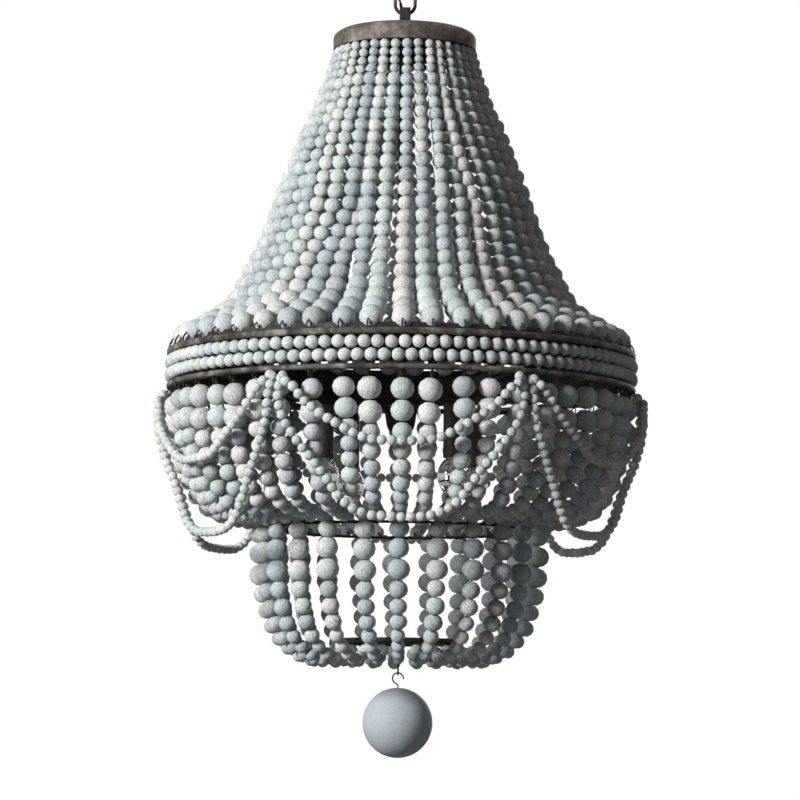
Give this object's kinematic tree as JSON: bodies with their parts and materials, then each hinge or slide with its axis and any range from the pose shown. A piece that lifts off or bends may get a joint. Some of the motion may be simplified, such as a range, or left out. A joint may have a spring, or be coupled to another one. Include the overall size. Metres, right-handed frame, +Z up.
{
  "type": "beaded chandelier",
  "caption": "Chandelier of painted wooden beads strung on an iron frame: a flared shade over a rounded basket, with bead swags, a bead band, candle lights and a ball finial.",
  "frame": {"origin": "centre of the fixing strap's top face, where it meets the ceiling", "axes": "+Z up along the chandelier's axis, -Y towards the viewer of the front, +X to that viewer's right"},
  "size_m": [0.6186, 0.6044, 1.115],
  "materials": {
    "screw_steel": "satin",
    "canopy_iron": "weathered",
    "chain_iron": "rusty",
    "cap_iron": "rusty",
    "frame_iron": "dark",
    "lead": "matte",
    "blue_beads": "chalky paint",
    "green_beads": "chalky paint",
    "lilac_beads": "chalky paint",
    "pale_beads": "chalky paint",
    "ball_paint": "chalky paint",
    "sleeve": "matte",
    "socket": "matte",
    "bulb_glass": "clear"
  },
  "bodies": {
    "ceiling": {"ceiling_strap": "screw_steel", "strap_screw_1": "screw_steel", "strap_screw_2": "screw_steel", "threaded_nipple": "screw_steel", "ceiling_canopy": "canopy_iron", "canopy_loop": "chain_iron", "supply_lead": "lead"},
    "collar": {"screw_collar": "canopy_iron"},
    "link_1": {"chain_link_1": "chain_iron"},
    "link_2": {"chain_link_2": "chain_iron"},
    "link_3": {"chain_link_3": "chain_iron"},
    "chandelier": {"cap_loop": "chain_iron", "top_cap": "cap_iron", "stem": "frame_iron", "band_spider": "frame_iron", "hub_cup": "frame_iron", "band_top_ring": "cap_iron", "band_bottom_ring": "cap_iron", "band_hoop": "frame_iron", "band_beads_upper": "blue_beads", "band_beads_lower": "pale_beads", "upper_strands_1": "blue_beads", "upper_strands_2": "pale_beads", "upper_strands_3": "green_beads", "upper_strands_4": "lilac_beads", "upper_strands_5": "blue_beads", "upper_strands_6": "pale_beads", "middle_strands_1": "pale_beads", "middle_strands_2": "green_beads", "middle_strands_3": "lilac_beads", "middle_strands_4": "blue_beads", "middle_strands_5": "pale_beads", "middle_strands_6": "green_beads", "waist_ring": "frame_iron", "basket_strands_1": "green_beads", "basket_strands_2": "lilac_beads", "basket_strands_3": "blue_beads", "bottom_ring": "frame_iron", "swag_pair_1": "lilac_beads", "swag_pair_2": "blue_beads", "swag_pair_3": "pale_beads", "swag_pair_4": "green_beads", "swag_pair_5": "lilac_beads", "swag_pair_6": "blue_beads", "socket_1": "socket", "socket_2": "socket", "socket_3": "socket", "socket_4": "socket", "candle_sleeve_1": "sleeve", "candle_sleeve_2": "sleeve", "candle_sleeve_3": "sleeve", "candle_sleeve_4": "sleeve", "finial_crossbar": "frame_iron"},
    "hanger": {"finial_hanger": "frame_iron"},
    "finial": {"finial_hook": "frame_iron", "finial_ball": "ball_paint"},
    "lamp_1": {"bulb_1": "bulb_glass"},
    "lamp_2": {"bulb_2": "bulb_glass"},
    "lamp_3": {"bulb_3": "bulb_glass"},
    "lamp_4": {"bulb_4": "bulb_glass"}
  },
  "joints": [
    {"name": "collar_spin", "type": "hinge", "parent": "ceiling", "child": "collar", "pos_m": [0, 0, -0.0313], "axis": [0, 0, 1], "continuous": true},
    {"name": "link_1_swing", "type": "hinge", "parent": "ceiling", "child": "link_1", "pos_m": [0, 0, -0.0667], "axis": [0, 1, 0], "range_deg": [-25, 25], "deforming": ["supply_lead"]},
    {"name": "link_2_swing", "type": "hinge", "parent": "link_1", "child": "link_2", "pos_m": [0, 0, -0.1044], "axis": [1, 0, 0], "range_deg": [-25, 25], "deforming": ["supply_lead"]},
    {"name": "link_3_swing", "type": "hinge", "parent": "link_2", "child": "link_3", "pos_m": [0, 0, -0.1421], "axis": [0, 1, 0], "range_deg": [-25, 25], "deforming": ["supply_lead"]},
    {"name": "chandelier_swing", "type": "hinge", "parent": "link_3", "child": "chandelier", "pos_m": [0, 0, -0.1798], "axis": [1, 0, 0], "range_deg": [-25, 25], "deforming": ["supply_lead"]},
    {"name": "hanger_swing", "type": "hinge", "parent": "chandelier", "child": "hanger", "pos_m": [0, 0, -0.9715], "axis": [1, 0, 0], "range_deg": [-20, 20]},
    {"name": "finial_swing", "type": "hinge", "parent": "hanger", "child": "finial", "pos_m": [0, 0, -1.012], "axis": [0, 1, 0], "range_deg": [-40, 40]},
    {"name": "bulb_1_screw", "type": "hinge", "parent": "chandelier", "child": "lamp_1", "pos_m": [0.06263, -0.09285, -0.7269], "axis": [0, 0, 1], "continuous": true},
    {"name": "bulb_2_screw", "type": "hinge", "parent": "chandelier", "child": "lamp_2", "pos_m": [0.09285, 0.06263, -0.7269], "axis": [0, 0, 1], "continuous": true},
    {"name": "bulb_3_screw", "type": "hinge", "parent": "chandelier", "child": "lamp_3", "pos_m": [-0.06263, 0.09285, -0.7269], "axis": [0, 0, 1], "continuous": true},
    {"name": "bulb_4_screw", "type": "hinge", "parent": "chandelier", "child": "lamp_4", "pos_m": [-0.09285, -0.06263, -0.7269], "axis": [0, 0, 1], "continuous": true}
  ]
}
